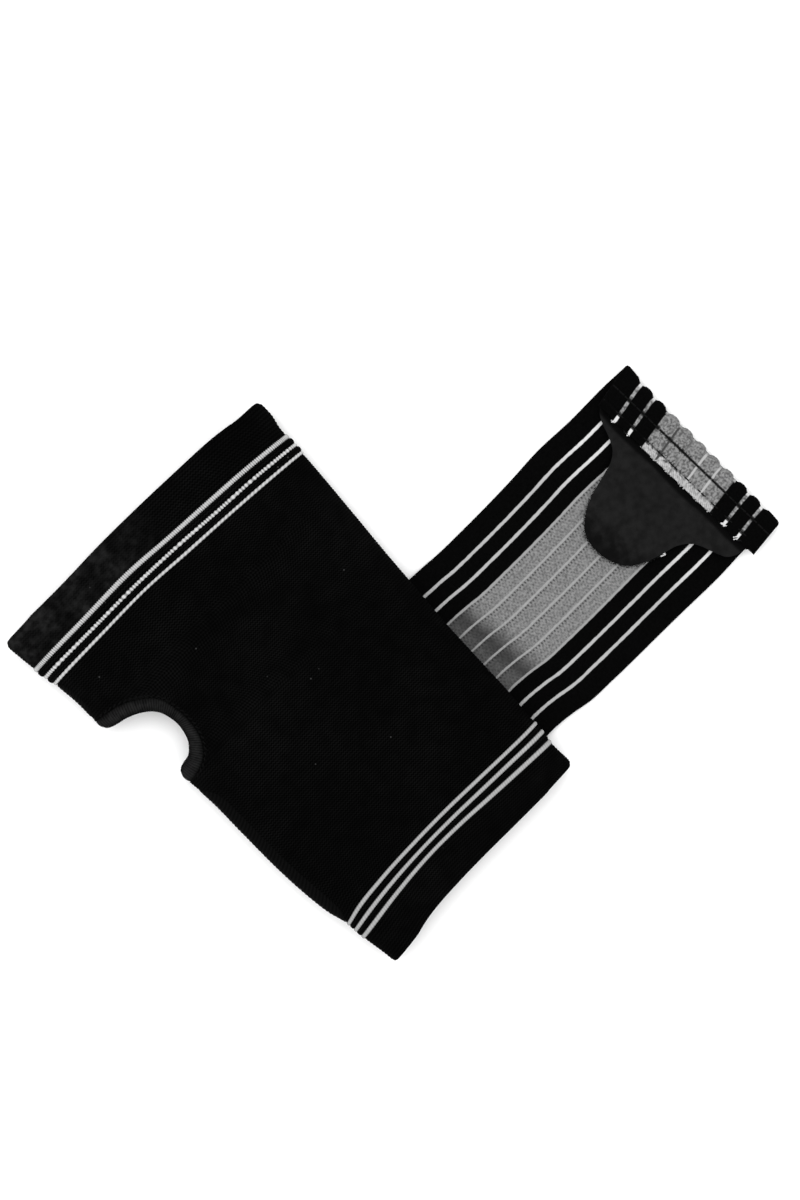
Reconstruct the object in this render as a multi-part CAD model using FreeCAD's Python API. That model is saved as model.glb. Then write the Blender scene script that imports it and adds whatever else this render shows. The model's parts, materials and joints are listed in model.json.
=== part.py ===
"""Knitted wrist support brace with a wrap strap, lying flat.

The sleeve is a flattened tube along Y, hand end towards +Y, thumb side towards -X.
An elastic strap is sewn to its back, passes under it and runs out towards +X, where
its end is turned over and carries a hook tab that grips the strap's upper face.
All lengths are in millimetres, and the brace stands on the plane z = 0.
"""

import FreeCAD
import Part
import math
import os

os.makedirs("parts", exist_ok=True)

# Sleeve: flat widths, and where along the sleeve each one is measured
hand_end_width = 97.5
hand_stripe_width = 94.2
palm_width = 92.2
thumb_base_width = 83.0
forearm_width = 80.5
cuff_top_width = 78.4
wrist_stripe_width = 76.2
wrist_end_width = 74.0
hand_end = 70.0
hand_stripe_zone = 54.0
palm = 39.0
thumb_base = 2.0
forearm = -28.0
cuff_top = -48.0
wrist_stripe_zone = -52.0
wrist_end = -67.6
hand_end_tilt = -1.3
wrist_end_tilt = 1.5

# Sleeve: fabric
sleeve_height = 10.2
knit_wall = 1.6
yarn_depth = 0.8

# Stripes: centre line along the sleeve, and width of each ring of yarn
hand_stripes = ((58.6, 1.4), (55.0, 1.1), (52.0, 1.0))
wrist_stripes = ((-49.6, 1.1), (-52.3, 1.1), (-55.2, 1.1))
hand_stripe_tilt = -3.2

# Thumb opening, its binding and the side seams
thumb_radius = 10.0
thumb_centre_x = -41.2
thumb_centre_y = 22.0
binding_width = 3.5
binding_seam_width = 0.6
wrist_seam_width = 3.2
hand_seam_width = 1.4

# Strap webbing
strap_width = 60.0
strap_centre_y = -29.2
webbing = 1.6
strap_reach = 128.2
sewn_root = 10.0
root_margin = 1.0
wrap_margin = 4.7
wrap_links = 5
link_gap = 0.15
layer_gap = 0.3

# Turned-over end, hook tab and stitching
turned_depth = 12.7
hook_height = 0.5
hook_gap = 0.1
tab_backing = 0.9
tab_length = 37.1
tab_base_width = 57.0
tab_nose_radius = 12.0
tab_tongue_width = 29.2
tab_tongue_length = 17.6
tab_shoulder_drop = 4.0
tab_flare_sweep = 1.6
tab_offset = -2.0
hook_border = 1.0
end_stitch_rows = (2.3, 7.0)
root_stitch_rows = (2.0, 5.0, 8.0)
stitch_length = 1.6
stitch_pitch = 2.5
stitch_width = 0.5
stitch_height = 0.25

# Heights that follow from the layers
strap_top = webbing
sleeve_rise = strap_top + layer_gap
hooks_low = strap_top + hook_gap
tab_low = hooks_low + hook_height
turned_low = tab_low + tab_backing
turned_top = turned_low + webbing

# Places that follow from the widths and lengths
strap_low_y = strap_centre_y - strap_width / 2
strap_high_y = strap_centre_y + strap_width / 2
root_x = wrist_seam_width + root_margin - forearm_width / 2
swing_x = root_x + sewn_root
wrap_x = thumb_base_width / 2 + wrap_margin
fold_x = strap_reach - webbing
raw_edge_x = fold_x - turned_depth
tab_base_x = raw_edge_x + end_stitch_rows[1] + stitch_width
tab_tip_x = tab_base_x - tab_length
last_wrap_x = tab_tip_x - hook_border - link_gap
link_length = (last_wrap_x - wrap_x) / wrap_links
hand_cuff_edge = hand_stripes[0][0] + hand_stripes[0][1] / 2
wrist_cuff_edge = wrist_stripes[-1][0] - wrist_stripes[-1][1] / 2

# The sleeve lies on the floor past the strap and rises over the strap's edges.
over_strap = 1.2
hand_side_ramp = 7.0
wrist_side_ramp = 5.4
widths = (
    (wrist_end, wrist_end_width),
    (wrist_stripe_zone, wrist_stripe_width),
    (cuff_top, cuff_top_width),
    (forearm, forearm_width),
    (thumb_base, thumb_base_width),
    (palm, palm_width),
    (hand_stripe_zone, hand_stripe_width),
    (hand_end, hand_end_width),
)
rises = (
    (strap_low_y - over_strap - wrist_side_ramp, 0.0),
    (strap_low_y - over_strap, sleeve_rise),
    (strap_high_y + over_strap, sleeve_rise),
    (strap_high_y + over_strap + hand_side_ramp, 0.0),
)

# The origin is under the middle of the whole brace.
half_hand = hand_end_width / 2
half_wrist = wrist_end_width / 2
high_y = hand_end + half_hand * math.tan(math.radians(abs(hand_end_tilt)))
low_y = wrist_end - half_wrist * math.tan(math.radians(abs(wrist_end_tilt)))
middle = FreeCAD.Vector((strap_reach - half_hand) / 2, (high_y + low_y) / 2, 0)

# Sizes of the cutters, and how close two sections of the sleeve may be
beyond_all = 300.0
end_overrun = 6.0
least_station_gap = 0.2


def along(table, y):
    """Value of a table of (y, value) pairs at y, level past its ends."""
    if y <= table[0][0]:
        return table[0][1]
    for (y0, v0), (y1, v1) in zip(table, table[1:]):
        if y <= y1:
            return v0 + (v1 - v0) * (y - y0) / (y1 - y0)
    return table[-1][1]


def vector(x, y, z):
    return FreeCAD.Vector(x, y, z)


def section(y, inset):
    """Cross-section of the flattened sleeve at y, inset from its outer face."""
    radius = sleeve_height / 2 - inset
    half = along(widths, y) / 2 - inset - radius
    low = along(rises, y) + inset
    high = low + 2 * radius
    mid = low + radius
    edges = [
        Part.LineSegment(vector(-half, y, low), vector(half, y, low)),
        Part.Arc(vector(half, y, low), vector(half + radius, y, mid), vector(half, y, high)),
        Part.LineSegment(vector(half, y, high), vector(-half, y, high)),
        Part.Arc(vector(-half, y, high), vector(-half - radius, y, mid), vector(-half, y, low)),
    ]
    return Part.Wire([edge.toShape() for edge in edges])


def sleeve_form(inset):
    """Solid form of the sleeve, inset from its outer face and overrunning both ends."""
    places = [wrist_end - end_overrun]
    for y in sorted([y for y, _ in widths[1:-1] + rises] + [hand_end + end_overrun]):
        if y - places[-1] > least_station_gap:
            places.append(y)
    return Part.makeLoft([section(y, inset) for y in places], True, True)


def beyond(y, tilt):
    """Everything further towards the hand than a line across the sleeve at y."""
    block = Part.makeBox(2 * beyond_all, beyond_all, 2 * beyond_all)
    block.translate(vector(-beyond_all, y, -beyond_all))
    block.rotate(vector(0, y, 0), vector(0, 0, 1), tilt)
    return block


def before(y, tilt):
    """Everything nearer the wrist than a line across the sleeve at y."""
    block = Part.makeBox(2 * beyond_all, beyond_all, 2 * beyond_all)
    block.translate(vector(-beyond_all, y - beyond_all, -beyond_all))
    block.rotate(vector(0, y, 0), vector(0, 0, 1), tilt)
    return block


def thumb_slot(margin):
    """Upright cutter for the thumb opening, wider all round by a margin."""
    radius = thumb_radius + margin
    low = -sleeve_height
    tall = 4 * sleeve_height
    round_end = Part.makeCylinder(radius, tall, vector(thumb_centre_x, thumb_centre_y, low))
    mouth = Part.makeBox(
        palm_width,
        2 * radius,
        tall,
        vector(thumb_centre_x - palm_width, thumb_centre_y - radius, low),
    )
    return round_end.fuse(mouth).removeSplitter()


def seam_strip(width, low, high):
    """Upright cutter along the thumb-side edge between two places on the sleeve."""
    places = [low] + [y for y, _ in widths if low < y < high] + [high]
    inner = [vector(width - along(widths, y) / 2, y, -sleeve_height) for y in places]
    outer = [vector(-beyond_all, y, -sleeve_height) for y in (high, low)]
    face = Part.Face(Part.makePolygon(inner + outer + inner[:1]))
    return face.extrude(vector(0, 0, 4 * sleeve_height))


def plate(x0, x1, z0, z1):
    """Length of webbing across the whole width of the strap."""
    return Part.makeBox(x1 - x0, strap_width, z1 - z0, vector(x0, strap_low_y, z0))


def stitch_row(x, low):
    """Row of short stitches across the strap, each lying along it."""
    count = int((strap_width - stitch_pitch) / stitch_pitch)
    first = strap_centre_y - (count - 1) * stitch_pitch / 2
    stitches = []
    for i in range(count):
        corner = vector(x - stitch_width / 2, first + i * stitch_pitch - stitch_length / 2, low)
        stitches.append(Part.makeBox(stitch_width, stitch_length, stitch_height, corner))
    return Part.makeCompound(stitches)


def tab_outline(border):
    """Face of the bell-shaped hook tab, inset by a border from its edge."""
    axis = strap_centre_y + tab_offset
    nose = tab_nose_radius - border
    nose_x = tab_tip_x + tab_nose_radius
    tongue = tab_tongue_width / 2 - border
    base = tab_base_width / 2 - border
    tongue_x = tab_tip_x + tab_tongue_length
    shoulder_x = raw_edge_x - tab_shoulder_drop
    base_x = tab_base_x - border
    flare = base - tab_shoulder_drop
    middle_x = (tongue_x + shoulder_x) / 2 + tab_flare_sweep
    middle_y = (tongue + flare) / 2 - tab_flare_sweep

    def spot(x, y, side):
        return vector(x, axis + side * y, 0)

    edges = []
    for side in (1, -1):
        half = [
            Part.LineSegment(spot(nose_x, nose, side), spot(tongue_x, tongue, side)),
            Part.Arc(
                spot(tongue_x, tongue, side),
                spot(middle_x, middle_y, side),
                spot(shoulder_x, flare, side),
            ),
            Part.LineSegment(spot(shoulder_x, flare, side), spot(raw_edge_x, base, side)),
            Part.LineSegment(spot(raw_edge_x, base, side), spot(base_x, base, side)),
        ]
        edges += half
    edges.append(Part.LineSegment(spot(base_x, base, 1), spot(base_x, base, -1)))
    tip = spot(nose_x - nose, 0, 1)
    edges.append(Part.Arc(spot(nose_x, nose, 1), tip, spot(nose_x, nose, -1)))
    wire = Part.Wire(Part.__sortEdges__([edge.toShape() for edge in edges]))
    return Part.Face(wire)


def tab_layer(border, low, high):
    """Flat layer of the hook tab between two heights."""
    layer = tab_outline(border).extrude(vector(0, 0, high - low))
    layer.translate(vector(0, 0, low))
    return layer


def sleeve_parts():
    """The knitted tube, cut into its cuffs, stripes, binding, seams and body."""
    outer = sleeve_form(0)
    trimmed = before(hand_end, hand_end_tilt).common(beyond(wrist_end, wrist_end_tilt))
    tube = outer.cut(sleeve_form(knit_wall)).common(trimmed)
    skin = outer.cut(sleeve_form(yarn_depth))
    parts = {}
    parts["hand_cuff"] = tube.common(beyond(hand_cuff_edge, hand_stripe_tilt))
    parts["wrist_cuff"] = tube.common(before(wrist_cuff_edge, 0))
    body = tube.common(before(hand_cuff_edge, hand_stripe_tilt))
    body = body.common(beyond(wrist_cuff_edge, 0))
    for name, stripes, tilt in (
        ("hand_stripe", hand_stripes, hand_stripe_tilt),
        ("wrist_stripe", wrist_stripes, 0),
    ):
        for number, (y, width) in enumerate(stripes, 1):
            ring = skin.common(beyond(y - width / 2, tilt)).common(before(y + width / 2, tilt))
            parts[f"{name}_{number}"] = ring
            body = body.cut(ring)
    opening = thumb_slot(0)
    bound = thumb_slot(binding_width)
    sewn = thumb_slot(binding_width + binding_seam_width)
    parts["thumb_binding"] = body.common(bound.cut(opening))
    parts["thumb_binding_seam"] = body.common(sewn.cut(bound))
    body = body.cut(sewn)
    wrist_strip = seam_strip(
        wrist_seam_width, wrist_stripes[0][0] + wrist_stripes[0][1] / 2, thumb_centre_y
    )
    hand_strip = seam_strip(hand_seam_width, thumb_centre_y, hand_end + end_overrun)
    parts["side_seam_wrist"] = body.common(wrist_strip)
    parts["side_seam_hand"] = body.common(hand_strip)
    parts["knit_body"] = body.cut(wrist_strip).cut(hand_strip)
    return parts


def strap_parts():
    """The webbing from its sewn root to the turned-over end."""
    parts = {}
    root_low = sleeve_rise - webbing
    parts["strap_root"] = plate(root_x, swing_x - link_gap, root_low, sleeve_rise)
    rows = [stitch_row(root_x + x, root_low - stitch_height) for x in root_stitch_rows]
    parts["strap_root_stitches"] = Part.makeCompound(rows)
    parts["strap_under_sleeve"] = plate(swing_x, wrap_x - link_gap, 0, strap_top)
    for number in range(wrap_links):
        start = wrap_x + number * link_length
        link = plate(start, start + link_length - link_gap, 0, strap_top)
        parts[f"strap_link_{number + 1}"] = link
    parts["strap_under_tab"] = plate(last_wrap_x, fold_x, 0, strap_top)
    turn = plate(fold_x, strap_reach, strap_top + link_gap / 2, turned_low - link_gap / 2)
    parts["strap_turn"] = turn
    parts["strap_turned_end"] = plate(raw_edge_x, fold_x, turned_low, turned_top)
    return parts


def tab_parts():
    """The hook tab, its hooks and the stitching that holds it to the strap."""
    parts = {}
    parts["hook_tab"] = tab_layer(0, tab_low, turned_low)
    hooks = tab_layer(hook_border, hooks_low, tab_low)
    parts["hook_field"] = hooks.cut(plate(raw_edge_x, strap_reach, 0, turned_top))
    for number, x in enumerate(end_stitch_rows, 1):
        parts[f"end_stitch_row_{number}"] = stitch_row(raw_edge_x + x, turned_top)
    return parts


def build():
    """Every sub-part by name, moved so that the origin is under the brace's middle."""
    parts = sleeve_parts() | strap_parts() | tab_parts()
    for shape in parts.values():
        shape.translate(-middle)
    return parts


nodes = build()
for name, shape in nodes.items():
    shape.exportStep(f"parts/{name}.step")
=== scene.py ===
# %% [markdown]
# # A knitted wrist support, dressed around its CAD frame
# The brace is a knitted tube with a thumb opening, and an elastic strap with a hook tab.
# The CAD model fixes where everything is and how it moves. Here each plain solid gets its
# real cloth: ribs, yarn, binding, webbing and stitches. We load the frame first, because
# every place below is measured from it.

# %% Load the frame
import json
import math

import bpy
import numpy as np
from mathutils import Matrix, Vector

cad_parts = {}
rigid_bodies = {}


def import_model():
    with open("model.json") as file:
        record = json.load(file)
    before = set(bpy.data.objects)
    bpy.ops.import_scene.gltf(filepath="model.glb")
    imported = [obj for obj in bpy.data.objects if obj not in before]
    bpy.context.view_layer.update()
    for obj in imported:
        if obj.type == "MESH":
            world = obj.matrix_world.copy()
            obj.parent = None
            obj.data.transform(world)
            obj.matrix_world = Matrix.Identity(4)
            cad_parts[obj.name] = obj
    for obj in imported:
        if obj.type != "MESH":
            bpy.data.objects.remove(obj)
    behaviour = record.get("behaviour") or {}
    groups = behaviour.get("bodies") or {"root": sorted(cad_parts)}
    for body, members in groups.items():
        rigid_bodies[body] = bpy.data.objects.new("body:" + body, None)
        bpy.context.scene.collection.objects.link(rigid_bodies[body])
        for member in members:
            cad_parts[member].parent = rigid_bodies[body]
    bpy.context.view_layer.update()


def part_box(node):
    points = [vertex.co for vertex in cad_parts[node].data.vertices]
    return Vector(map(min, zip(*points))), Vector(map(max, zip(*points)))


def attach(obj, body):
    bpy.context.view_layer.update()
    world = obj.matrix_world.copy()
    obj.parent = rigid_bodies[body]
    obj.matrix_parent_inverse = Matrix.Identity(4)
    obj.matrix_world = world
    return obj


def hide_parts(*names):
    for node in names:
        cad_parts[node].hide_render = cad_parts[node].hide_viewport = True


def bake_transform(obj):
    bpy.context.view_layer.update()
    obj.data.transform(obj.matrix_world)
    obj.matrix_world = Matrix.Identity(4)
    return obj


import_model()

# %% [markdown]
# ## Where things are
# Cloth is easiest to describe as a tailor would, in millimetres from the sleeve's middle
# line. X runs across the sleeve, away from the thumb, and Y runs along it, to the fingers.
# Two CAD boxes give that origin: the wrist cuff for X, and the strap for Y.

# %% The tailor's origin
MM = 0.001
cuff_low, cuff_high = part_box("wrist_cuff")
link_low, link_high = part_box("strap_link_1")
STRAP_LINE = -29.2
origin = np.array([
    (cuff_low.x + cuff_high.x) / 2,
    (link_low.y + link_high.y) / 2 - STRAP_LINE * MM,
    0.0,
])
print("sleeve middle at", origin)


# %% [markdown]
# ## A smooth line through a few points
# Outlines of cloth are gentle, so a handful of points and a smooth line through them says
# all there is. The line is level past both of its ends.

# %% Smooth lines
def flow(at, knots, values):
    """Smooth line through the values at the knots. Values may be one list or one per point."""
    knots = np.asarray(knots, float)
    values = np.asarray(values, float)
    at = np.clip(at, knots[0], knots[-1])
    slopes = np.gradient(values, knots, axis=0)
    i = np.clip(np.searchsorted(knots, at, side="right") - 1, 0, len(knots) - 2)
    gap = knots[i + 1] - knots[i]
    t = (at - knots[i]) / gap
    if values.ndim == 2:
        each = np.arange(values.shape[1])
        low, high, rise, fall = values[i, each], values[i + 1, each], slopes[i, each], slopes[i + 1, each]
    else:
        low, high, rise, fall = values[i], values[i + 1], slopes[i], slopes[i + 1]
    start = 2 * t**3 - 3 * t**2 + 1
    return start * low + (1 - start) * high + gap * ((t**3 - 2 * t**2 + t) * rise + (t**3 - t**2) * fall)


def ease(at, low, high):
    """0 below low, 1 above high, and a soft step between them."""
    t = np.clip((at - low) / (high - low), 0, 1)
    return t * t * (3 - 2 * t)


print("half way up a soft step:", ease(0.5, 0.0, 1.0))

# %% [markdown]
# ## The sleeve's outline and its courses
# Knitting grows course by course, and each course is a ring round the sleeve. Laid flat,
# the rings aren't straight: they lean at the hand end and bow at the wrist. Each line
# below is one course: its name is its height on the middle line, then come its heights
# at nine places from the thumb side to the other. The two edges are outlines of (y, x).

# %% Courses and edges
COURSE_PLACES = (-1, -0.88, -0.6, -0.2, 0.1, 0.4, 0.7, 0.87, 1)
COURSES = {
    -66.35: (-69.6, -69.1, -67.1, -66.3, -66.35, -66.6, -66.8, -66.9, -67.0),
    -55.2: (-57.7, -57.1, -55.85, -54.95, -55.2, -56.0, -56.75, -57.15, -57.5),
    -52.5: (-54.9, -54.1, -52.95, -52.35, -52.5, -53.0, -53.5, -53.8, -54.0),
    -49.7: (-52.3, -51.15, -50.05, -49.6, -49.7, -50.2, -50.75, -51.0, -51.1),
    -28.0: (-28.8, -28.2, -27.8, -27.7, -28.0, -28.4, -28.9, -29.1, -29.2),
    2.0: (2.6, 2.7, 2.8, 2.6, 2.0, 1.5, 0.9, 0.6, 0.4),
    39.0: (40.2, 40.2, 40.1, 39.8, 39.0, 38.3, 37.5, 37.0, 36.6),
    51.65: (52.92, 52.95, 52.95, 52.8, 51.65, 50.6, 49.4, 48.6, 48.0),
    54.65: (55.99, 55.95, 55.75, 55.45, 54.65, 53.4, 52.35, 51.45, 50.8),
    58.0: (59.33, 59.33, 59.3, 59.25, 58.0, 56.9, 55.7, 54.75, 54.0),
    70.3: (71.2, 70.95, 70.6, 70.7, 70.3, 69.6, 68.65, 67.5, 67.4),
}
WRIST_END, HAND_END = min(COURSES), max(COURSES)
THUMB_EDGE = (
    (-69.6, -37.0), (-62.7, -37.6), (-57.1, -38.2), (-52.1, -38.4), (-50.1, -38.7), (-46.0, -39.6),
    (-41.8, -40.1), (-36.2, -40.5), (-27.9, -40.7), (-13.9, -40.4), (0.0, -40.1), (8.4, -40.9),
    (22.0, -43.8), (36.5, -46.9), (39.0, -46.5), (52.4, -46.8), (59.3, -47.9), (68.2, -48.7),
)
FAR_EDGE = (
    (-64.6, 37.0), (-57.1, 37.1), (-54.3, 37.6), (-51.5, 37.9), (-47.4, 38.2), (-40.4, 39.0),
    (-27.9, 39.8), (-13.9, 40.7), (1.9, 42.3), (11.1, 43.2), (27.9, 45.1), (47.4, 47.1),
    (53.2, 47.5), (57.0, 47.8), (61.0, 48.8), (65.0, 49.1),
)
CORNERS = {"thumb wrist": 1.6, "thumb hand": 2.6, "far wrist": 3.0, "far hand": 2.5}


def course(place, along):
    """Height of a course at a place across the sleeve, from -1 at the thumb side to 1."""
    lines = np.array([flow(place, COURSE_PLACES, line) for line in COURSES.values()])
    return flow(along, list(COURSES), lines)


def edge(y, outline):
    """Where an outline of (y, x) points lies at y."""
    return flow(y, *zip(*outline))


def corner(gap, radius):
    """How far a rounded corner draws an edge in, at a distance from the sleeve's end."""
    return radius - np.sqrt(np.maximum(radius**2 - np.clip(radius - gap, 0, radius) ** 2, 0))


print("width at the palm:", edge(39.0, FAR_EDGE) - edge(39.0, THUMB_EDGE), "mm")

# %% [markdown]
# ## The thumb opening
# The opening is a bite out of the thumb-side seam, through both layers. A ribbed band is
# sewn round it. One list follows the band's free edge and the other its sewn edge, both
# from the lower lip to the upper one.

# %% The opening's two edges
FREE_EDGE = (
    (-40.9, 9.6), (-40.5, 10.5), (-39.6, 11.3), (-38.2, 11.8), (-35.3, 12.4), (-32.6, 15.0),
    (-31.3, 18.9), (-31.3, 22.8), (-32.4, 26.5), (-35.7, 29.8), (-40.2, 32.0), (-43.4, 32.8),
    (-44.9, 33.3), (-45.9, 34.0), (-46.5, 35.0),
)
SEWN_EDGE = (
    (-40.5, 6.9), (-40.1, 6.8), (-39.2, 6.8), (-37.4, 7.1), (-33.2, 8.6), (-29.9, 12.3),
    (-28.3, 17.3), (-28.3, 23.7), (-29.6, 29.0), (-33.9, 33.2), (-38.8, 35.8), (-43.0, 36.8),
    (-44.8, 37.1), (-45.9, 37.3), (-46.6, 37.4),
)
TUCK = 1.2
OPEN_LOW, OPEN_HIGH = 7.0, 37.0
cut_line = sorted((y, x - TUCK) for x, y in SEWN_EDGE[2:])
print("the opening is", OPEN_HIGH - OPEN_LOW, "mm long")

# %% [markdown]
# ## The sleeve's skin
# Every piece of knitting is placed by one rule. It takes how far round the sleeve a point
# is, from 0 at the seam over the front to 1 at the seam again, and which course it is on.
# The fold at each side is a soft round, the layers lift over the strap, and the cloth sinks
# a little round the thumb opening. A third number lifts a point off the skin.

# %% The rule for the skin
FOLD_DEPTH = 8.0
FOLD_SHARE = 0.12
SLACK = 1.1
HEIGHT = (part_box("hand_cuff")[1].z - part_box("hand_cuff")[0].z) / MM
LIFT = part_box("wrist_stripe_1")[0].z / MM


def relief(x, y, depth):
    """Share of its full height that the cloth has here: low waves, the sag and the seam's ridge."""
    sag = 0.26 * np.exp(-(((x + 36) / 9) ** 2) - ((y - 22) / 12) ** 2)
    waves = 0.022 * np.sin(x / 13 + 0.6) * np.sin(y / 19 + 0.4) + 0.012 * np.sin((x + y) / 8)
    ridge = 0.07 * np.exp(-(((depth - 4.8) / 1.1) ** 2)) * ease(-y, -3, 1) * ease(y, -52, -48)
    return 1 - sag + waves + ridge


def half_height(x, y, depth, far):
    """Height of a layer above or below the sleeve's middle plane."""
    round_off = np.sqrt(np.clip(1 - (1 - np.clip(depth / FOLD_DEPTH, 0, 1)) ** 2, 0, 1))
    ends = 1 - 0.14 * ease(y, 60, 71) - 0.14 * ease(-y, 58, 70)
    return (HEIGHT - SLACK) / 2 * round_off * far * relief(x, y, depth) * ends


def middle_plane(y):
    """Height of the sleeve's middle plane, lifted where the strap passes under it."""
    return LIFT * ease(y, -65.8, -60.0) * ease(-y, -9.5, -1.6) + HEIGHT / 2


print("the cloth stands", HEIGHT - SLACK, "mm high where it is full")


# %% [markdown]
# The rule itself bends each course round the two folds. Where the course runs into the
# thumb opening it starts at the cut instead, and the rest of it draws together.

# %% Wrap the skin
def bare_skin(around, along):
    """Points on the sleeve's outer skin, by the way round it and the course."""
    front = around <= 0.5
    across = np.where(front, 2 * around, 2 - 2 * around)
    left = edge(course(-np.ones_like(along), along), THUMB_EDGE)
    left = left + corner(along - WRIST_END, CORNERS["thumb wrist"])
    left = left + corner(HAND_END - along, CORNERS["thumb hand"])
    right = edge(course(np.ones_like(along), along), FAR_EDGE)
    right = right - corner(along - WRIST_END, CORNERS["far wrist"])
    right = right - corner(HAND_END - along, CORNERS["far hand"])
    width = right - left
    near = np.clip(across / FOLD_SHARE, 0, 1) * math.pi / 2
    far = np.clip((1 - across) / FOLD_SHARE, 0, 1) * math.pi / 2
    level = np.clip((across - FOLD_SHARE) / (1 - 2 * FOLD_SHARE), 0, 1)
    x = FOLD_DEPTH * (1 - np.cos(near) + np.cos(far)) + level * (width - 2 * FOLD_DEPTH)
    y_cut = course(-np.ones_like(along), along)
    for _ in range(3):
        cut = np.interp(y_cut, *zip(*cut_line))
        y_cut = course(np.clip(2 * (cut - left) / width - 1, -1, 1), along)
    opened = (y_cut > OPEN_LOW) & (y_cut < OPEN_HIGH)
    start = np.where(opened, np.maximum(cut - left, 0), 0)
    x = start + x * (width - start) / width
    y = course(2 * x / width - 1, along)
    high = half_height(left + x, y, x, np.sin(far))
    z = middle_plane(y) + np.where(front, high, -high)
    return np.stack([left + x, y, z], axis=1)


def skin(around, along, out=0.0):
    """Points on the sleeve, lifted off it by out, in millimetres."""
    step, climb = 0.002, 0.1
    ahead = bare_skin(np.minimum(around + step, 1), along)
    behind = bare_skin(np.maximum(around - step, 0), along)
    above = bare_skin(around, along + climb)
    below = bare_skin(around, along - climb)
    normal = np.cross(ahead - behind, above - below)
    normal /= np.maximum(np.linalg.norm(normal, axis=1, keepdims=True), 1e-9)
    return bare_skin(around, along) + normal * np.reshape(out * np.ones_like(along), (-1, 1))


print("the front of the palm is at", skin(np.array([0.25]), np.array([20.0])))


# %% [markdown]
# ## A sheet from a grid
# A grid is the natural start for cloth, since knitting and weaving are grids too. One
# helper adds the grid, moves its vertices by a rule, and sews edges that meet. It also
# writes a UV map in metres, so that a pattern of stitches keeps its real size.

# %% The sheet helper
SEW = 0.02 * MM


def all_mesh_edits(piece, *edits):
    """Runs edit-mode operators on the whole mesh of one piece."""
    bpy.ops.object.select_all(action="DESELECT")
    piece.select_set(True)
    bpy.context.view_layer.objects.active = piece
    bpy.ops.object.mode_set(mode="EDIT")
    for edit in edits:
        bpy.ops.mesh.select_all(action="SELECT")
        edit()
    bpy.ops.object.mode_set(mode="OBJECT")


def sheet_by_rule(name, columns, rows, rule, pattern, closed=True):
    """Grid of columns by rows whose vertices follow rule(u, v), with UVs from pattern(u, v)."""
    bpy.ops.object.select_all(action="DESELECT")
    bpy.ops.mesh.primitive_grid_add(x_subdivisions=columns, y_subdivisions=rows, size=1)
    piece = bpy.context.object
    piece.name = name
    mesh = piece.data
    flat = np.empty(len(mesh.vertices) * 3)
    mesh.vertices.foreach_get("co", flat)
    u, v = flat.reshape(-1, 3)[:, 0] + 0.5, flat.reshape(-1, 3)[:, 1] + 0.5
    mesh.vertices.foreach_set("co", (rule(u, v) * MM + origin).ravel())
    corners = np.empty(len(mesh.loops), int)
    mesh.loops.foreach_get("vertex_index", corners)
    uv = np.stack(pattern(u, v), axis=1)[corners] * MM
    mesh.uv_layers[0].data.foreach_set("uv", uv.ravel())
    edits = [lambda: bpy.ops.mesh.remove_doubles(threshold=SEW)]
    if closed:
        edits.append(lambda: bpy.ops.mesh.fill_holes(sides=0))
        edits.append(lambda: bpy.ops.mesh.normals_make_consistent(inside=False))
    all_mesh_edits(piece, *edits)
    bpy.ops.object.shade_smooth_by_angle(angle=math.radians(60))
    return piece


def apply_modifier(piece, kind, **settings):
    """Adds a modifier to one piece and applies it."""
    bpy.ops.object.select_all(action="DESELECT")
    piece.select_set(True)
    bpy.context.view_layer.objects.active = piece
    bpy.ops.object.modifier_add(type=kind)
    modifier = piece.modifiers[-1]
    for key, value in settings.items():
        setattr(modifier, key, value)
    bpy.ops.object.modifier_apply(modifier=modifier.name)


print("edges sew together within", SEW, "m")


# %% [markdown]
# ## Material helpers
# A material is a small graph of nodes. These helpers add a node, wire it, and read the UV
# map in millimetres, so the graphs below stay short.

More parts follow.
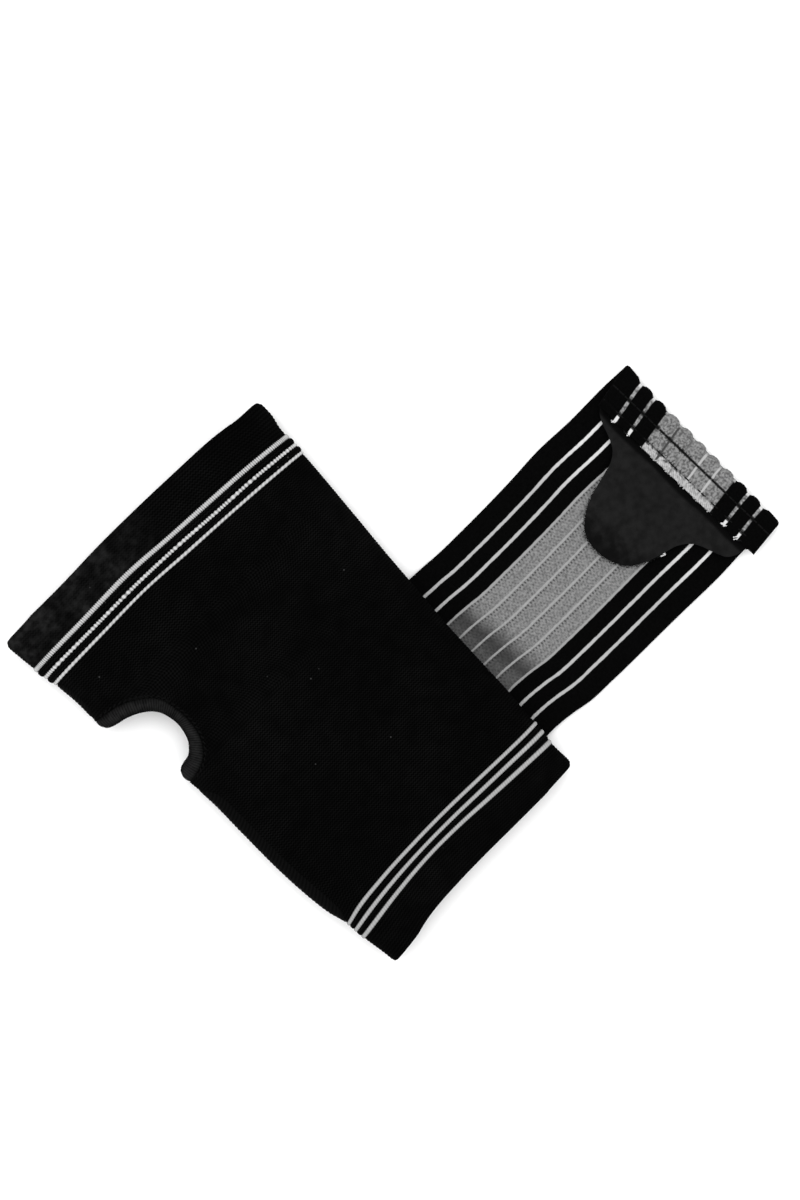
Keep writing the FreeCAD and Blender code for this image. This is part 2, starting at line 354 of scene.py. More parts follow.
# %% Node helpers
class Graph:
    """One material's node graph, with shorthand for the nodes used here."""

    def __init__(self, name):
        self.material = bpy.data.materials.new(name)
        self.material.use_nodes = True
        self.tree = self.material.node_tree
        self.shader = self.tree.nodes["Principled BSDF"]

    def put(self, socket, value):
        if isinstance(value, bpy.types.NodeSocket):
            self.tree.links.new(value, socket)
        else:
            socket.default_value = value

    def math(self, operation, first, second=0.0, third=0.0):
        node = self.tree.nodes.new("ShaderNodeMath")
        node.operation = operation
        for socket, value in zip(node.inputs, (first, second, third)):
            self.put(socket, value)
        return node.outputs[0]

    def cloth_place(self):
        """U and V of the piece in millimetres."""
        uv = self.tree.nodes.new("ShaderNodeUVMap")
        split = self.tree.nodes.new("ShaderNodeSeparateXYZ")
        self.put(split.inputs[0], uv.outputs[0])
        u = self.math("MULTIPLY", split.outputs[0], 1000.0)
        return u, self.math("MULTIPLY", split.outputs[1], 1000.0)

    def object_place(self):
        return self.tree.nodes.new("ShaderNodeTexCoord").outputs["Object"]

    def noise(self, scale, detail=2.0, place=None):
        node = self.tree.nodes.new("ShaderNodeTexNoise")
        node.inputs["Scale"].default_value = scale
        node.inputs["Detail"].default_value = detail
        self.put(node.inputs["Vector"], place or self.object_place())
        return node.outputs["Fac"]

    def wave(self, phase):
        """Smooth wave from 0 to 1, one turn for each whole step of phase."""
        turned = self.math("SINE", self.math("MULTIPLY", phase, 2 * math.pi))
        return self.math("MULTIPLY_ADD", turned, 0.5, 0.5)

    def band(self, value, low, high):
        """0 below low and 1 above high."""
        node = self.tree.nodes.new("ShaderNodeMapRange")
        node.interpolation_type = "SMOOTHSTEP"
        self.put(node.inputs["Value"], value)
        node.inputs["From Min"].default_value = low
        node.inputs["From Max"].default_value = high
        return node.outputs["Result"]

    def mix(self, share, first, second):
        node = self.tree.nodes.new("ShaderNodeMix")
        node.data_type = "RGBA"
        self.put(node.inputs["Factor"], share)
        self.put(node.inputs["A"], first)
        self.put(node.inputs["B"], second)
        return node.outputs["Result"]

    def bump(self, height, distance, strength=1.0):
        node = self.tree.nodes.new("ShaderNodeBump")
        node.inputs["Strength"].default_value = strength
        node.inputs["Distance"].default_value = distance
        self.put(node.inputs["Height"], height)
        self.put(self.shader.inputs["Normal"], node.outputs["Normal"])

    def finish(self, colour, rough, gloss, fuzz=0.0):
        self.put(self.shader.inputs["Base Color"], colour)
        self.put(self.shader.inputs["Roughness"], rough)
        self.shader.inputs["Specular IOR Level"].default_value = gloss
        self.shader.inputs["Sheen Weight"].default_value = fuzz
        self.shader.inputs["Sheen Roughness"].default_value = 0.6
        return self.material


def grey(level):
    """A grey as a colour with full alpha."""
    return (level, level, level, 1.0)


def wear(piece, material):
    """Gives a piece one material."""
    piece.data.materials.clear()
    piece.data.materials.append(material)


print("material helpers are ready")


# %% [markdown]
# ## Black knit
# The sleeve is a fine rib knit in black elastic yarn. Its ribs are modelled, so the
# material adds what is finer: the V of each stitch, painted shade in the valley between
# the ribs, a little unevenness in the dye, and a few specks of lint.

# %% The black knit
RIB = 0.85
CUFF_RIB = 0.95
WALE = 0.45


def knit_material(name, rib, dark, light, mottle=0.0):
    """Rib knit. A mottle is a paler grey in patches on the thumb half: partly faded knit, partly painted
    sheen.
    """
    g = Graph(name)
    u, v = g.cloth_place()
    wale = g.math("PINGPONG", g.math("DIVIDE", u, WALE), 1.0)
    stitch = g.wave(g.math("ADD", g.math("DIVIDE", v, rib), g.math("MULTIPLY", wale, 0.5)))
    dye = g.noise(260.0, 4.0)
    patches = g.band(g.noise(110.0, 3.0), 0.42, 0.66)
    worn = g.band(g.noise(45.0, 2.0), 0.35, 0.7)
    # The stitch wave paints shade into the valleys between stitches and ribs; dye and worn vary the tone
    # at random.
    shade = g.math("MULTIPLY", stitch, g.math("MULTIPLY_ADD", dye, 0.8, 0.1))
    shade = g.math("MULTIPLY", shade, g.math("MULTIPLY_ADD", worn, 0.5, 0.8))
    colour = g.mix(shade, grey(dark), grey(light))
    if mottle:
        side = g.tree.nodes.new("ShaderNodeSeparateXYZ")
        g.put(side.inputs[0], g.object_place())
        thumb_half = g.band(side.outputs[0], origin[0] + 0.012, origin[0] - 0.022)
        fine = g.band(g.noise(420.0, 3.0), 0.35, 0.75)
        # Paler patches on the thumb half: partly faded knit, partly painted sheen.
        faded_sheen = g.math("MULTIPLY", g.math("MULTIPLY_ADD", patches, 0.6, 0.25), thumb_half)
        faded_sheen = g.math("MULTIPLY", faded_sheen, g.math("MULTIPLY_ADD", fine, 0.8, 0.2))
        colour = g.mix(faded_sheen, colour, grey(mottle))
    lint = g.tree.nodes.new("ShaderNodeTexVoronoi")
    lint.inputs["Scale"].default_value = 250.0
    g.put(lint.inputs["Vector"], g.object_place())
    pick = g.tree.nodes.new("ShaderNodeSeparateColor")
    g.put(pick.inputs[0], lint.outputs["Color"])
    rare = g.math("GREATER_THAN", pick.outputs[0], 0.86)
    speck = g.math("MULTIPLY", g.band(lint.outputs["Distance"], 0.075, 0.025), rare)
    colour = g.mix(g.math("MULTIPLY", speck, 0.5), colour, grey(0.06))
    height = g.math("MULTIPLY_ADD", wale, 0.4, g.math("MULTIPLY", stitch, 0.6))
    g.bump(height, 0.12 * MM, 0.8)
    rough = g.math("MULTIPLY_ADD", dye, 0.15, 0.8)
    return g.finish(colour, rough, 0.01)


black_knit = knit_material("Black rib knit", RIB, 0.0001, 0.0046)
cuff_knit = knit_material("Black welt knit, faded", CUFF_RIB, 0.0002, 0.0038, mottle=0.0145)
print("made", black_knit.name, "and", cuff_knit.name)

# %% [markdown]
# ## Stripe places
# Three rings of light yarn run round each end. The black bands between them stand a little
# proud, because the light yarn is tighter and pulls the knitting in.

# %% Stripes and the swell between them
HAND_STRIPES = ((58.0, 1.45), (54.65, 1.15), (51.65, 1.05))
WRIST_STRIPES = ((-49.7, 1.2), (-52.5, 1.2), (-55.2, 1.25))


def swell(along):
    """How far the black knit stands out between the stripes, and dips under them."""
    out = np.zeros_like(along)
    for stripes, rise in ((HAND_STRIPES, 0.6), (WRIST_STRIPES, 0.25)):
        for (high, high_width), (low, low_width) in zip(stripes, stripes[1:]):
            middle = (high - high_width / 2 + low + low_width / 2) / 2
            reach = (high - low - (high_width + low_width) / 2) / 2 + 0.15
            out += rise * np.sqrt(np.clip(1 - ((along - middle) / reach) ** 2, 0, 1))
        for middle, width in stripes:
            out -= 0.3 * np.clip(1 - (np.abs(along - middle) / (width * 0.62)) ** 4, 0, 1)
    return out


print("black band stands out by", swell(np.array([56.3])), "mm")

# %% [markdown]
# ## The knitted body
# The body is one panel, folded at the far side and sewn at the thumb side. So the grid
# wraps once round, its two sides are sewn where they meet, and the rows in the opening
# stay apart. Two rows make each rib, then Solidify gives the cloth its wall.

# %% Knit the body
body_low = WRIST_STRIPES[-1][0] - WRIST_STRIPES[-1][1] / 2
body_high = HAND_STRIPES[0][0] + HAND_STRIPES[0][1] / 2
BODY_ROWS = 2 * round((body_high - body_low) / RIB)
BODY_COLUMNS = 132
BODY_ROUND = 176
KNIT_WALL = 1.2
RIB_DEPTH = 0.07


def body_rule(around, up):
    """The knitted body: ribs that fade out at the stripes, and the swell between them."""
    along = body_low + up * (body_high - body_low)
    rib = RIB_DEPTH * np.cos(math.pi * np.round(up * BODY_ROWS))
    quiet = np.minimum(np.abs(along - WRIST_STRIPES[1][0]), np.abs(along - HAND_STRIPES[1][0]))
    return skin(around, along, rib * ease(quiet, 3.6, 5.5) + swell(along))


def body_pattern(around, up):
    return around * BODY_ROUND, body_low + up * (body_high - body_low)


knit_body = sheet_by_rule(
    "Knit_Body", BODY_COLUMNS, BODY_ROWS, body_rule, body_pattern, closed=False
)
apply_modifier(knit_body, "SOLIDIFY", thickness=KNIT_WALL * MM, offset=-1)
wear(knit_body, black_knit)
print("knit body:", len(knit_body.data.polygons), "faces")

# %% [markdown]
# ## The cuffs
# A cuff is a welt: the knitting is turned inward at the end and caught down at the stripe,
# which gives a thick, round rim. The rule goes up the outside, over the rim and back down
# the inside, so the sheet closes on itself.

# %% Turn the welts
WELT = 1.9
RIM = 0.95
CUFF_ROUND = 190


def welt(name, start, end, node):
    """Doubled cuff between the stripe's course and the sleeve's end."""
    direction = 1 if end > start else -1
    length = abs(end - start) - RIM
    ribs = round(length / CUFF_RIB)
    outside, rim, inside = 2 * ribs, 8, 12
    rows = outside + rim + inside + 2

    def rule(around, up):
        row = np.round(up * rows)
        climb = np.clip(row / outside, 0, 1)
        turn = np.clip((row - outside) / rim, 0, 1) * math.pi
        back = np.clip((row - outside - rim) / inside, 0, 1)
        along = start + direction * (length * (climb - back) + RIM * np.sin(turn))
        out = -WELT / 2 * (1 - np.cos(turn))
        out = out + RIB_DEPTH * np.cos(math.pi * row) * (row < outside)
        out = np.where(row >= rows, RIB_DEPTH, out)
        out = out * ease(along * direction, start * direction, start * direction + 0.6)
        out = np.where((row > outside + rim) & (row < rows), np.minimum(out, -0.9), out)
        along = np.where(row >= rows, start, along)
        return skin(around, along, out)

    def pattern(around, up):
        return around * CUFF_ROUND, start + direction * np.round(up * rows) * CUFF_RIB / 2

    piece = sheet_by_rule(name, 144, rows, rule, pattern)
    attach(piece, "sleeve")
    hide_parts(node)
    return piece


hand_cuff = welt("Hand_Cuff", body_high, HAND_END, "hand_cuff")
wear(hand_cuff, cuff_knit)
wrist_cuff = welt("Wrist_Cuff", body_low, WRIST_END, "wrist_cuff")
wear(wrist_cuff, black_knit)
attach(knit_body, "sleeve")
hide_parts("knit_body")
print("cuffs:", len(hand_cuff.data.polygons), "and", len(wrist_cuff.data.polygons), "faces")


# %% [markdown]
# ## Light yarn
# The stripes are thicker, softer yarn in pale grey. The first ring at the hand is a comb
# of short stitches, the second is beaded and the third is twisted like rope. At the wrist
# all three are plain. The relief is modelled, and the material adds fibres, painted shade
# between the stitches and a painted highlight along each ring's crown.

# %% The yarn material
def yarn_material(name, dark, light, gap):
    """Fluffy yarn, with a painted highlight on its crown. The U of the map counts stitches, and gap sets
    the painted shade between two of them.
    """
    g = Graph(name)
    u, v = g.cloth_place()
    fluff = g.noise(900.0, 4.0)
    patch = g.band(g.noise(160.0, 2.0), 0.3, 0.7)
    tooth = g.wave(g.math("ADD", u, 0.25))
    # Painted shade in the hollow between two stitches; the teeth are painted lighter.
    gap_shade = g.band(tooth, 0.55, 0.0)
    gap_shade = g.math("MULTIPLY", gap_shade, g.math("MULTIPLY_ADD", patch, 0.9, 0.1))
    shade = g.math("MULTIPLY_ADD", tooth, 0.35, g.math("MULTIPLY", fluff, 0.65))
    g.bump(g.math("ADD", tooth, fluff), 0.08 * MM, 0.7)
    colour = g.mix(shade, grey(dark), grey(light))
    # Painted highlight along the ring's crown, with painted shade towards its sides.
    crown_highlight = g.wave(g.math("MULTIPLY_ADD", v, 1 / 1.5, -0.25))
    colour = g.mix(g.band(crown_highlight, 0.0, 0.75), grey(dark * 0.35), colour)
    return g.finish(g.mix(g.math("MULTIPLY", gap_shade, gap), colour, grey(0.02)), 0.9, 0.2, 0.03)


comb_yarn = yarn_material("Light yarn, comb stitch", 0.3, 0.5, 0.42)
bead_yarn = yarn_material("Light yarn, beaded", 0.32, 0.56, 0.55)
rope_yarn = yarn_material("Light yarn, twisted", 0.3, 0.48, 0.22)
mid_yarn = yarn_material("Mid grey yarn", 0.21, 0.34, 0.1)


# %% [markdown]
# Each ring is a tube along one course. Its stitch says, for a place on the tube, which
# stitch it is on, how much a stitch swells the tube, and how much it widens it.

# %% Four stitches
def comb(turn, round_it):
    """Close short teeth, side by side."""
    return 310 * turn, 0.3, 0.14


def beads(turn, round_it):
    """Fat beads, a little unevenly spaced."""
    uneven = 0.5 * np.sin(2 * math.pi * 9 * turn) + 0.25 * np.sin(2 * math.pi * 31 * turn)
    return 185 * turn + uneven, 0.4, 0.2


def rope(turn, round_it):
    """Stitches that lean round the tube like the strands of a rope."""
    return 150 * turn + round_it, 0.22, 0.09


def plain(turn, round_it):
    """A thin twist with hardly any relief."""
    return 210 * turn + round_it, 0.06, 0.03


print("a comb has", comb(1, 0)[0], "stitches round the sleeve")


# %% [markdown]
# The rings are made alike: a sheet of twelve rows, wrapped into a tube and sewn.

# %% Knit the rings
def yarn_ring(name, middle, width, stitch, columns, material, node):
    """Ring of yarn round the sleeve on one course."""

    def rule(around, section):
        turn = 2 * math.pi * section
        phase, thick, wide = stitch(around, section)
        tooth = np.cos(2 * math.pi * phase)
        along = middle + width / 2 * np.cos(turn) * (1 + wide * tooth)
        out = -0.16 + 0.5 * np.sin(turn) * (1 + thick * tooth)
        return skin(around, along, out)

    ring = sheet_by_rule(name, columns, 12, rule, lambda u, v: (stitch(u, v)[0], v * 3))
    wear(ring, material)
    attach(ring, "sleeve")
    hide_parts(node)
    return ring


hand_yarns = ((comb, comb_yarn), (beads, bead_yarn), (rope, rope_yarn))
for number, ((middle, width), (stitch, yarn)) in enumerate(zip(HAND_STRIPES, hand_yarns), 1):
    yarn_ring(
        f"Hand_Stripe_{number}", middle, width, stitch, 1500, yarn,
        f"hand_stripe_{number}",
    )
for number, (middle, width) in enumerate(WRIST_STRIPES, 1):
    yarn_ring(
        f"Wrist_Stripe_{number}", middle, width, plain, 1050, mid_yarn,
        f"wrist_stripe_{number}",
    )

# %% [markdown]
# ## The thumb binding
# A strip of rib knit is sewn round the opening, on the front layer and back along the
# other, so it is one closed loop. Its cross-section is a flat oval and its ribs run
# across it.

# %% Bind the opening
BIND_RIBS = 128
BIND_HALF = 0.8


def binding_line(share, outline):
    """Point a share of the way along one of the opening's two edges."""
    steps = np.hypot(*np.diff(np.array(SEWN_EDGE), axis=0).T)
    knots = np.concatenate([[0], np.cumsum(steps)]) / steps.sum()
    xs, ys = zip(*outline)
    return flow(share, knots, xs), flow(share, knots, ys)


def on_sleeve(x, y, front, out):
    """Points on either layer of the sleeve above a place (x, y), lifted by out."""
    depth = np.maximum(x - edge(y, THUMB_EDGE), 0)
    lean = np.clip(1 - depth / FOLD_DEPTH, 0, 1)
    high = half_height(x, y, depth, 1.0)
    side = np.where(front, 1.0, -1.0)
    normal_x, normal_z = -lean / FOLD_DEPTH, np.sqrt(1 - lean**2) / (HEIGHT / 2)
    size = np.hypot(normal_x, normal_z)
    z = middle_plane(y) + side * (high + out * normal_z / size)
    return np.stack([x + out * normal_x / size, y, z], axis=1)


def binding_rule(around, section):
    """Flat oval tube with ribs, round the opening on one layer and back on the other."""
    front = around <= 0.5
    share = np.where(front, 2 * around, 2 - 2 * around)
    turn = 2 * math.pi * section
    rib = np.cos(2 * math.pi * BIND_RIBS * around)
    reach = 0.5 + 0.5 * np.cos(turn) * (1.02 + 0.02 * rib)
    free_x, free_y = binding_line(share, FREE_EDGE)
    sewn_x, sewn_y = binding_line(share, SEWN_EDGE)
    x = free_x + (sewn_x - free_x) * reach
    y = free_y + (sewn_y - free_y) * reach
    body = 0.5 + 0.5 * ease(np.minimum(share, 1 - share), 0, 0.07)
    out = -0.3 + BIND_HALF * body * np.sin(turn) * (1 + 0.12 * rib)
    return on_sleeve(x, y, front, out)


print("the binding has", BIND_RIBS, "ribs")

# %% [markdown]
# The binding is black rib knit like the sleeve, with a painted highlight along its crown
# and painted shade between its ribs.

# %% Colour and sew on the binding
g = Graph("Binding rib knit")
u, v = g.cloth_place()
rib_shade = g.wave(g.math("DIVIDE", u, 100.0 / BIND_RIBS))
fuzz = g.noise(700.0, 4.0)
tone = g.math("MULTIPLY_ADD", rib_shade, 0.4, g.math("MULTIPLY_ADD", fuzz, 1.1, -0.3))
# Painted highlight along the binding's crown, and painted shade between its ribs.
crown_highlight = g.wave(g.math("MULTIPLY_ADD", v, 1 / 4.5, -0.25))
tone = g.math("MULTIPLY", tone, g.math("MULTIPLY_ADD", crown_highlight, 0.9, 0.1))
g.bump(g.math("ADD", rib_shade, g.math("MULTIPLY", fuzz, 0.5)), 0.1 * MM, 0.7)
binding_knit = g.finish(g.mix(tone, grey(0.0008), grey(0.017)), 0.85, 0.02)

thumb_binding = sheet_by_rule(
    "Thumb_Binding", BIND_RIBS * 6, 16, binding_rule, lambda u, v: (u * 100, v * 9)
)
wear(thumb_binding, binding_knit)
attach(thumb_binding, "sleeve")
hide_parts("thumb_binding")
print("binding:", len(thumb_binding.data.polygons), "faces")


# %% [markdown]
# ## Stitches
# One stitch is a short, fat thread with rounded ends: a cube, bevelled all round. It is
# modelled once, then copied along each seam, and the copies are joined into one piece.

# %% One stitch, copied
def one_stitch(length, width, height):
    """Rounded stitch lying along X, in millimetres."""
    bpy.ops.object.select_all(action="DESELECT")
    bpy.ops.mesh.primitive_cube_add(size=1)
    piece = bpy.context.object
    all_mesh_edits(
        piece,
        lambda: bpy.ops.transform.resize(value=(length * MM, width * MM, height * MM)),
        lambda: bpy.ops.mesh.bevel(
            offset=0.4 * min(width, height) * MM, segments=2, affect="EDGES"
        ),
    )
    return piece


def copies(name, model, places):
    """Copies of a model at (x, y, z, turn), joined into one mesh. The model goes."""
    made = []
    for x, y, z, turn in places:
        copy = model.copy()
        copy.data = model.data.copy()
        spot = np.array([x, y, z]) * MM + origin
        copy.data.transform(Matrix.Translation(spot) @ Matrix.Rotation(turn, 4, "Z"))
        bpy.context.scene.collection.objects.link(copy)
        made.append(copy)
    bpy.data.objects.remove(model)
    bpy.ops.object.select_all(action="DESELECT")
    for copy in made:
        copy.select_set(True)
    bpy.context.view_layer.objects.active = made[0]
    bpy.ops.object.join()
    made[0].name = name
    bpy.ops.object.shade_smooth_by_angle(angle=math.radians(50))
    return made[0]


def thread_material(name, dark, light):
    """Twisted thread, from dark to light along its strands."""
    g = Graph(name)
    twist = g.noise(1500.0, 3.0)
    g.bump(twist, 0.05 * MM, 0.8)
    return g.finish(g.mix(twist, grey(dark), grey(light)), 0.8, 0.06)


seam_thread = thread_material("Black seam thread", 0.0002, 0.0012)
print("made", seam_thread.name)

# %% [markdown]
# The binding's own stitches follow its sewn edge, just outside it, on both layers. Each
# one leans across the edge, as an overlock stitch does.

# %% Stitch the binding
places = []
for front in (True, False):
    for share in np.linspace(0.06, 0.95, 30):
        x, y = (value[0] for value in binding_line(np.array([share]), SEWN_EDGE))
        next_x, next_y = (value[0] for value in binding_line(np.array([share + 0.01]), SEWN_EDGE))
        turn = math.atan2(next_y - y, next_x - x)
        x, y = x + 0.5 * math.sin(turn), y - 0.5 * math.cos(turn)
        spot = on_sleeve(np.array([x]), np.array([y]), np.array([front]), -0.08)[0]
        places.append((spot[0], spot[1], spot[2], turn + 0.5))
binding_seam = copies("Thumb_Binding_Seam", one_stitch(1.3, 0.45, 0.4), places)
wear(binding_seam, seam_thread)
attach(binding_seam, "sleeve")
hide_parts("thumb_binding_seam")
print("binding stitches:", len(places))

# %% [markdown]
# ## The side seams
# The panel's two edges are overlocked together at the thumb side. The seam wraps the fold
# as a flat band with close cross stitches. It is wide below the opening and narrow above.

# %% Overlock the sides
SEAM_STITCH = 1.1


def side_seam(name, low, high, reach, node):
    """Flat oval band of overlocking that wraps the thumb-side fold between two courses."""
    rows = round((high - low) / SEAM_STITCH) * 4

    def rule(section, up):
        turn = 2 * math.pi * section
        end = np.sqrt(np.clip(1 - (2 * np.abs(up - 0.5)) ** 9, 0.02, 1))
        place = reach * np.cos(turn) * end
        around = np.where(place >= 0, place, 1 + place)
        along = low + up * (high - low)
        stitch = np.cos(2 * math.pi * along / SEAM_STITCH)
        out = 0.02 + (0.3 + 0.07 * stitch) * np.sin(turn) * end
        return skin(around, along, out)

    seam = sheet_by_rule(name, 40, rows, rule, lambda u, v: (u * 13, low + v * (high - low)))
    wear(seam, seam_knit)
    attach(seam, "sleeve")
    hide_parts(node)
    return seam


g = Graph("Overlocked seam")
u, v = g.cloth_place()
loops = g.wave(g.math("ADD", g.math("DIVIDE", v, SEAM_STITCH), g.math("DIVIDE", u, 2.2)))
g.bump(loops, 0.12 * MM, 0.8)
seam_knit = g.finish(g.mix(loops, grey(0.0005), grey(0.002)), 0.8, 0.02)
seam_wrist = side_seam("Side_Seam_Wrist", -48.6, 2.6, 0.0354, "side_seam_wrist")
seam_hand = side_seam("Side_Seam_Hand", 37.9, 50.8, 0.023, "side_seam_hand")
print("side seams:", seam_wrist.name, seam_hand.name)

# %% [markdown]
# ## The webbing's cross-section
# The strap is ribbed elastic: eleven soft panels with a thread line between each pair. A
# panel is puffy and a line lies in a groove. The columns of the grid crowd round the
# lines, where the shape changes quickly.

# %% Panels and lines
PANEL = 5.2
HALF_STRAP = 30.0
LINE = 0.9
LINES = [(k + 0.5) * PANEL for k in range(-5, 5)]
GREY_HALF = 2.5 * PANEL
WEAVE = 0.85


def across_spots():
    """Where the columns lie across the strap, from one edge to the other."""
    spots = [-HALF_STRAP, -29.7, -29.0, -27.3, -25.4]
    for line in LINES:
        spots += [line + step for step in (-0.8, -0.5, -0.25, 0, 0.25, 0.5, 0.8)]
        if line < LINES[-1]:
            spots += [line + step for step in (1.4, 2.6, 3.8)]
    return spots + [25.4, 27.3, 29.0, 29.7, HALF_STRAP]


spots = np.array(across_spots())
loop_spots = np.concatenate([spots, spots[-2::-1]])
loop_sides = np.concatenate([np.ones(len(spots)), -np.ones(len(spots) - 1)])
loop_sides[len(spots) - 1] = 0
loop_sides[0] = loop_sides[-1] = 0


def line_gap(offset):
    """Distance from an offset across the strap to the nearest line."""
    return np.min(np.abs(offset[:, None] - np.array(LINES)[None, :]), axis=1)


def bulge(offset):
    """0 in the groove of a line and 1 at the middle of a panel."""
    return ease(line_gap(offset), 0.3, 1.9)


def half_thickness(offset, run):
    """Half the webbing's thickness, with its threads, its cords and its thin rims."""
    gap = line_gap(offset)
    thread = 0.16 * np.sqrt(np.clip(1 - (gap / 0.55) ** 2, 0, 1))
    thread = thread * (1 + 0.25 * np.cos(2 * math.pi * run / 1.3))
    cord = 0.035 * np.cos(2 * math.pi * run / WEAVE) * bulge(offset)
    thick = 0.42 + 0.33 * bulge(offset) + thread + cord
    rim = np.clip((np.abs(offset) - 28.9) / 1.1, 0, 1)
    return thick * np.sqrt(1 - 0.96 * rim**2)


print("columns round the strap:", len(loop_spots) - 1)

# %% [markdown]
# ## The strap's run
# The strap lies on the table, passes under the sleeve, and its end turns back over itself.
# One rule follows it: the distance along it, and the offset across. Past the fold it
# climbs half a circle, then runs back over the hook tab, a few degrees askew.

# %% The rule for the webbing
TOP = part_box("strap_turned_end")[1].z / MM
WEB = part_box("strap_link_1")[1].z / MM
RAW_EDGE = (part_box("strap_turned_end")[0].x - origin[0]) / MM
BEND = (TOP - WEB) / 2
MIDDLE = (
    (-36.0, -29.2), (-15.0, -29.2), (30.0, -27.6), (42.3, -27.2), (47.4, -27.7), (52.9, -28.5),
    (61.3, -28.9), (83.6, -29.3), (91.9, -29.3), (103.1, -29.8), (119.8, -30.2), (126.0, -31.2),
)
HALF_WIDTH = (
    (-36.0, 30.0), (42.3, 29.1), (47.4, 29.3), (52.9, 29.6), (61.3, 29.7), (83.6, 30.0),
    (91.9, 30.3), (119.8, 30.3), (126.0, 30.9),
)
FOLD = ((-30.0, 125.4), (-26.0, 125.7), (0.0, 126.4), (26.0, 127.5), (30.0, 127.9))
SKEW, SKEW_CHANGE = 0.125, 0.045
END_ROWS = [
    ((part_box(f"end_stitch_row_{n}")[0].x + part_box(f"end_stitch_row_{n}")[1].x) / 2 - origin[0]) / MM
    for n in (1, 2)
]


def bend_start(offset):
    """Where each panel leaves the table to turn over. The fold is scalloped, panel by panel."""
    return flow(offset, *zip(*FOLD)) - BEND - WEB / 2 + 0.5 * (bulge(offset) - 0.6)


def web_point(run, offset, side):
    """Point on the webbing. The side is 1 on its upper face and -1 below, before it turns."""
    start = bend_start(offset)
    angle = np.clip((run - start) / BEND, 0, math.pi)
    back = np.maximum(run - start - math.pi * BEND, 0)
    x = np.minimum(run, start) + BEND * np.sin(angle) - back
    z = WEB / 2 + BEND * (1 - np.cos(angle))
    flat_x = np.minimum(run, start + BEND)
    y = edge(flat_x, MIDDLE) + edge(flat_x, HALF_WIDTH) * offset / HALF_STRAP
    y = y - back * (SKEW + SKEW_CHANGE * offset / HALF_STRAP)
    half = half_thickness(offset, run)
    last = np.exp(-((np.maximum(x - RAW_EDGE, 0) / 1.1) ** 2)) * (back > 0)
    rows = [np.exp(-(((x - row) / 0.55) ** 2)) * (back > 0) for row in END_ROWS]
    half = half * (1 - 0.3 * last - 0.24 * rows[0] - 0.42 * rows[1])
    normal_x, normal_z = -np.sin(angle), np.cos(angle)
    return np.stack([x + side * half * normal_x, y, z + side * half * normal_z], axis=1)


print("the webbing turns over on a radius of", BEND, "mm")


# %% [markdown]
# The strap is made in lengths, so that each can ride on its own body. The map's U is the
# way along, and on the turned end it is evened out, so that a pattern crosses it straight.

# %% A length of webbing
def webbing(name, start, end, node_list, rows=None):
    """Length of webbing between two runs, which may differ across the strap."""
    count = rows or max(round((np.max(end(spots)) - np.min(start(spots))) / (WEAVE / 2)), 4)

    def place(around, up):
        pick = np.round(around * (len(loop_spots) - 1)).astype(int)
        offset = loop_spots[pick]
        return start(offset) + up * (end(offset) - start(offset)), offset, loop_sides[pick]

    def pattern(around, up):
        run, offset, _ = place(around, up)
        turned = ease(run, 126.0, 129.0)
        return run + 2 * turned * (bend_start(np.zeros(1)) - bend_start(offset)), offset

    piece = sheet_by_rule(
        name, len(loop_spots) - 1, count, lambda u, v: web_point(*place(u, v)), pattern
    )
    wear(piece, elastic)
    if node_list:
        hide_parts(*node_list)
    return piece


def at(x):
    """A straight cut across the strap, at x."""
    return lambda offset: np.full_like(offset, x)


print("rows in 10 mm of webbing:", round(10 / (WEAVE / 2)))

# %% [markdown]
# ## Elastic webbing
# The two outer bands are black with pale lines. The five middle panels are a grey weave of
# small dots, with a painted shadow beside each line. All of it follows the strap, so it reads
# the UV map: U runs along the strap and V across it. First come the masks for each place.

# %% Places on the webbing
g = Graph("Ribbed elastic")
u, v = g.cloth_place()
wobble = g.noise(600.0, 2.0)
grain = g.noise(1500.0, 4.0)
cloud = g.noise(120.0, 2.0)
patchy = g.band(g.noise(1300.0, 4.0), 0.34, 0.66)
size = g.math("ABSOLUTE", v)
flap = g.band(u, 127.6, 128.6)
on_bed = g.math("SUBTRACT", 1.0, flap)
flap_x = g.math("SUBTRACT", float(2 * bend_start(np.zeros(1))[0] + BEND * math.pi), u)
upper = g.band(v, -4.0, 4.0)
inside = g.math("SUBTRACT", 1.0, g.band(size, GREY_HALF - 0.15, GREY_HALF + 0.15))
within = g.math("SUBTRACT", 1.0, g.band(size, GREY_HALF - 1.2, GREY_HALF - 0.9))
border = g.band(g.math("ABSOLUTE", g.math("SUBTRACT", size, GREY_HALF)), 0.95, 0.75)
print("the flap starts at U 127.6 to 128.6, and the grey is", 2 * GREY_HALF, "mm wide")

# %% [markdown]
# A line lies between each pair of panels. Its edges waver, it is thinner inside the grey,
# and it is missing on the turned end where the grey meets the black.

# %% Lines between the panels
phase = g.math("FRACT", g.math("ADD", g.math("DIVIDE", v, PANEL), 50.0))
from_line = g.math("MULTIPLY", g.math("ABSOLUTE", g.math("SUBTRACT", phase, 0.5)), PANEL)
edge_gap = g.math("ADD", from_line, g.math("MULTIPLY_ADD", wobble, 0.3, -0.15))
thinner = g.math("MULTIPLY_ADD", within, 0.13, g.math("MULTIPLY", border, 0.1))
edge_gap = g.math("ADD", edge_gap, thinner)
on_line = g.band(edge_gap, LINE / 2 + 0.1, LINE / 2 - 0.12)
on_line = g.math("MULTIPLY", on_line, g.band(size, LINES[-1] + 1.0, LINES[-1] + 0.8))
lost = g.math("MULTIPLY", flap, border)
on_line = g.math("MULTIPLY", on_line, g.math("SUBTRACT", 1.0, lost))
print("lines:", len(LINES))

# %% [markdown]
# Two rows of dark stitches cross the turned end. The one by the cut end is faint and the
# other is dark but broken. Both leave dark spots in the weave where they pull at it.

